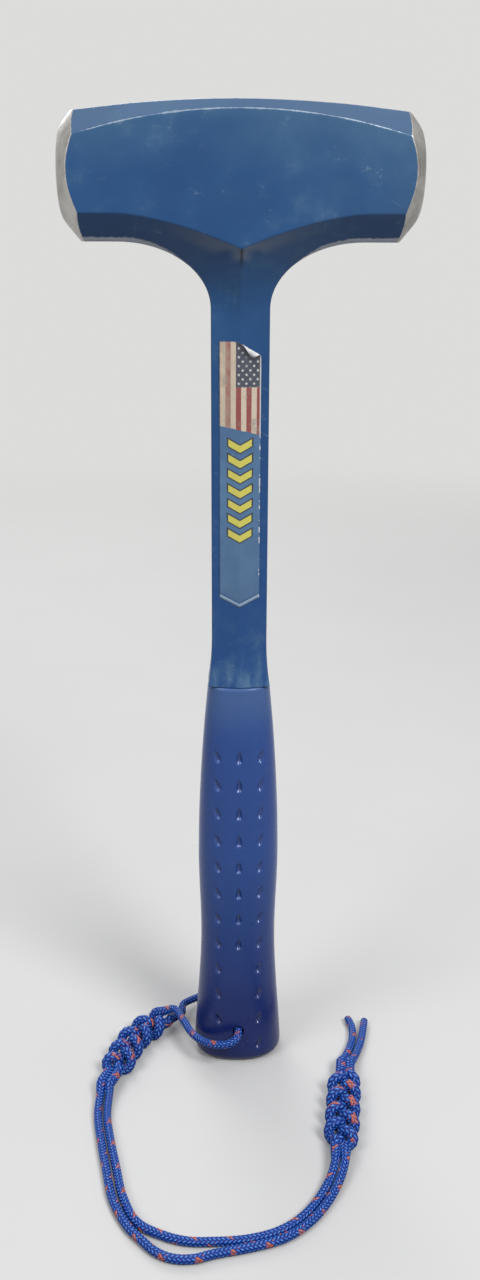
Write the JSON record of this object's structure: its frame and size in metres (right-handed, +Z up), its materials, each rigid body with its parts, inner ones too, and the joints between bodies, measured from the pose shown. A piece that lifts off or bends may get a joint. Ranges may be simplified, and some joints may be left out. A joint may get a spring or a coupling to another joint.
{
  "type": "sledgehammer",
  "caption": "Short-handled sledgehammer: crowned-face head and ridged shank in a forging, moulded grip, shank label and a knotted braided lanyard through the butt.",
  "frame": {"origin": "middle of the flat butt that the hammer stands on", "axes": "+Z up the handle to the head, X along the head from striking face to striking face, -Y the labelled front"},
  "size_m": [0.1354, 0.1578, 0.406],
  "materials": {
    "painted_forging": "semi-gloss blue paint, worn along the edges, with the striking ends ground to bare steel",
    "moulded_vinyl": "smooth blue vinyl with rows of small moulded dimples",
    "label_film": "thin glossy printed film",
    "braided_cord": "braided blue nylon with orange-red flecks"
  },
  "bodies": {
    "root": {"forged_head_and_shank": "painted_forging", "grip": "moulded_vinyl", "shank_label": "label_film", "lanyard_front_lead": "braided_cord", "neck_knot_front_turns": "braided_cord", "lanyard_outer_strand": "braided_cord", "end_knot_outer_turns": "braided_cord", "lanyard_right_tail": "braided_cord", "lanyard_back_lead": "braided_cord", "neck_knot_back_turns": "braided_cord", "lanyard_inner_strand": "braided_cord", "end_knot_inner_turns": "braided_cord", "lanyard_left_tail": "braided_cord"}
  },
  "joints": []
}
